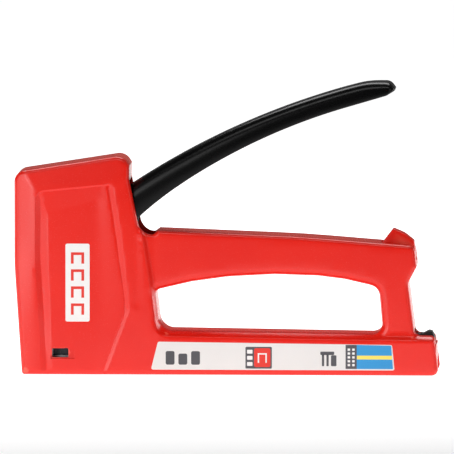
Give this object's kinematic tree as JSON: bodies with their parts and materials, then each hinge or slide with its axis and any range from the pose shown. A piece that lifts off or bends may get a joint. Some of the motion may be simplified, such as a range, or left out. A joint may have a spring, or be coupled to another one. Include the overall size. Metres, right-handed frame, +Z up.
{
  "type": "staple gun",
  "caption": "Hand staple gun: squeeze lever lifts a spring-loaded hammer and driver blade above a rear-sliding staple magazine, in a two-part red casing with a finger opening.",
  "frame": {"origin": "middle of the footprint, on the surface the tool stands on", "axes": "+X towards the tail, +Y across to the tool's right side, +Z up"},
  "size_m": [0.1864, 0.0304, 0.1288],
  "materials": {
    "casing": "satin moulded, fine grain",
    "lever_black": "satin to gloss",
    "cap_black": "matte moulded",
    "label": "gloss laminated sticker",
    "bright_steel": "zinc plated",
    "tool_steel": "ground, lightly oiled",
    "spring_steel": "drawn wire",
    "screw_steel": "blackened",
    "bumper_rubber": "matte"
  },
  "bodies": {
    "housing": {"housing_left": "casing", "housing_right": "casing", "housing_screws": "screw_steel", "locating_pins": "bright_steel", "lever_stop": "casing", "side_labels": "label", "head_badges": "label", "lever_pin": "bright_steel", "pivot_washers": "bright_steel", "spring_seat": "tool_steel", "power_spring": "spring_steel", "lever_return_spring": "spring_steel", "bumper": "bumper_rubber", "nose_plate": "bright_steel", "magazine_channel": "bright_steel"},
    "lever": {"lever_handle": "lever_black", "lever_arm": "bright_steel", "lever_rivets": "bright_steel"},
    "striker": {"hammer": "tool_steel", "hammer_pins": "bright_steel", "driver_blade": "tool_steel", "blade_rivets": "bright_steel"},
    "magazine": {"magazine_core": "bright_steel", "guide_rod": "bright_steel", "rear_cap": "casing", "cap_pin": "bright_steel", "latch_pin": "bright_steel", "pusher_spring": "spring_steel", "latch_spring": "spring_steel"},
    "follower": {"pusher": "tool_steel"},
    "catch": {"latch": "cap_black"}
  },
  "joints": [
    {"name": "lever_pivot", "type": "hinge", "parent": "housing", "child": "lever", "pos_m": [-0.0465, 0, 0.0705], "axis": [0, 1, 0], "range_deg": [0, 30], "stiffness_Nm_per_rad": 0.6, "springref_deg": -34.38, "deforming": ["lever_return_spring"]},
    {"name": "hammer_lift", "type": "slide", "parent": "housing", "child": "striker", "axis": [0, 0, 1], "range_m": [0, 0.01475], "deforming": ["power_spring"]},
    {"name": "magazine_slide", "type": "slide", "parent": "housing", "child": "magazine", "axis": [1, 0, 0], "range_m": [0, 0.09]},
    {"name": "pusher_slide", "type": "slide", "parent": "magazine", "child": "follower", "axis": [1, 0, 0], "range_m": [0, 0.085], "stiffness_N_per_m": 30, "springref_m": -0.05, "deforming": ["pusher_spring"]},
    {"name": "latch_press", "type": "hinge", "parent": "magazine", "child": "catch", "pos_m": [0.0896, 0, 0.0095], "axis": [0, -1, 0], "range_deg": [0, 5], "stiffness_Nm_per_rad": 0.3, "springref_deg": -5.73, "deforming": ["latch_spring"]}
  ],
  "couplings": [
    {"joint": "hammer_lift", "follows": "lever_pivot", "m_per_rad": 0.02817}
  ]
}
